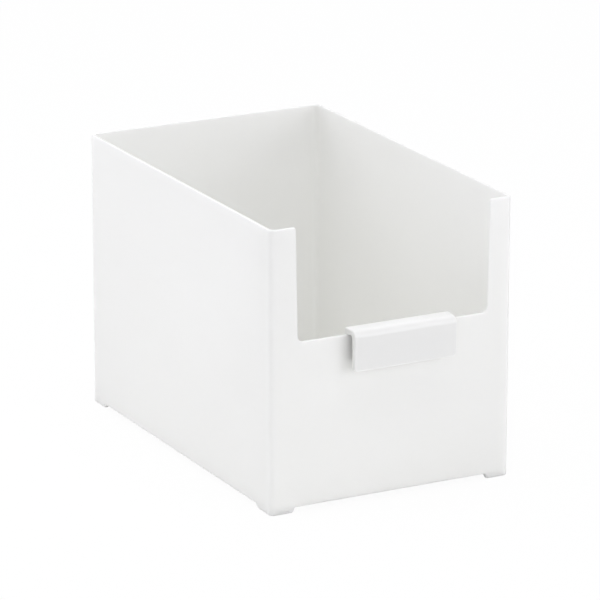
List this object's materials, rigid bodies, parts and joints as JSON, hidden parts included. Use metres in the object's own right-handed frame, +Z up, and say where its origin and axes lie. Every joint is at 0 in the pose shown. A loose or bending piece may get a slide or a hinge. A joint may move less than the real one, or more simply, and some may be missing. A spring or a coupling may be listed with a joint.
{
  "type": "storage box",
  "caption": "Open-top storage box with a low cut-out front, corner feet, and a clip-on pull hooked over the edge of the cut-out.",
  "frame": {"origin": "centre of the whole outline, box and pull together, on the surface the box stands on", "axes": "+Z up, +Y from the cut-out front with its pull towards the back wall, +X to the right when looking at the front"},
  "size_m": [0.1586, 0.2484, 0.1716],
  "materials": {
    "box_plastic": "satin white, fine moulded grain",
    "pull_plastic": "smooth white, slightly glossier and greyer than the box"
  },
  "bodies": {
    "box": {"tub": "box_plastic"},
    "pull": {"pull": "pull_plastic"}
  },
  "joints": [
    {"name": "pull_lift", "type": "slide", "parent": "box", "child": "pull", "axis": [0, 0, 1], "range_m": [0, 0.095]}
  ]
}
